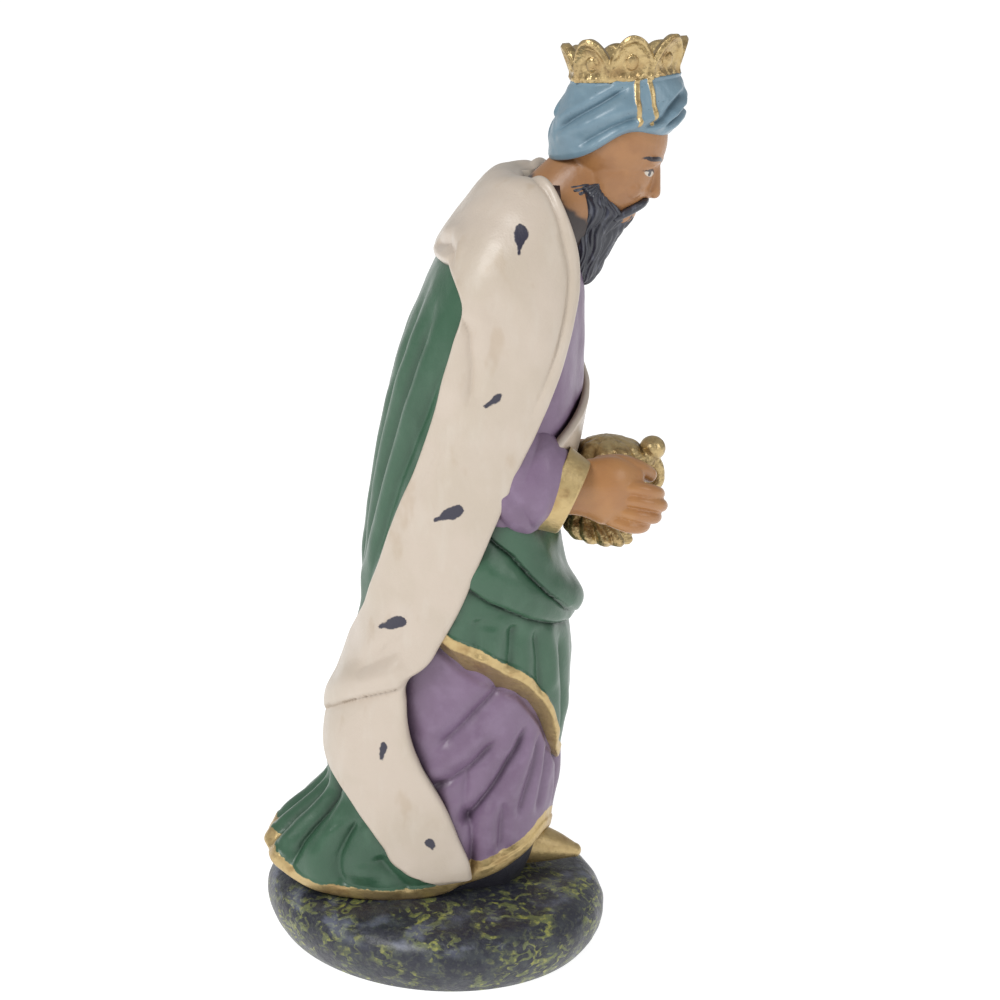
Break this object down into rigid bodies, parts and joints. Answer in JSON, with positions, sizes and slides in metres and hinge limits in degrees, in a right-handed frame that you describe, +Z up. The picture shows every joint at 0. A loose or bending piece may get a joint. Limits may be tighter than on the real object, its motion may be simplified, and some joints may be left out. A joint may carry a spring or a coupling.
{
  "type": "nativity wise man figurine",
  "caption": "Painted plaster figurine of a bowing, bearded king with turban and crown who offers a gold vessel, cast whole with its rounded base.",
  "frame": {"origin": "Middle of the flat underside of the base, on the surface that the figurine stands on.", "axes": "+Z is up, +X is the way the figure faces and bows, +Y is towards the figure's left."},
  "size_m": [0.1387, 0.1059, 0.2995],
  "materials": {
    "painted_plaster": "hand-painted plaster with semi-gloss varnish"
  },
  "bodies": {
    "root": {"wise_man_figurine": "painted_plaster"}
  },
  "joints": []
}
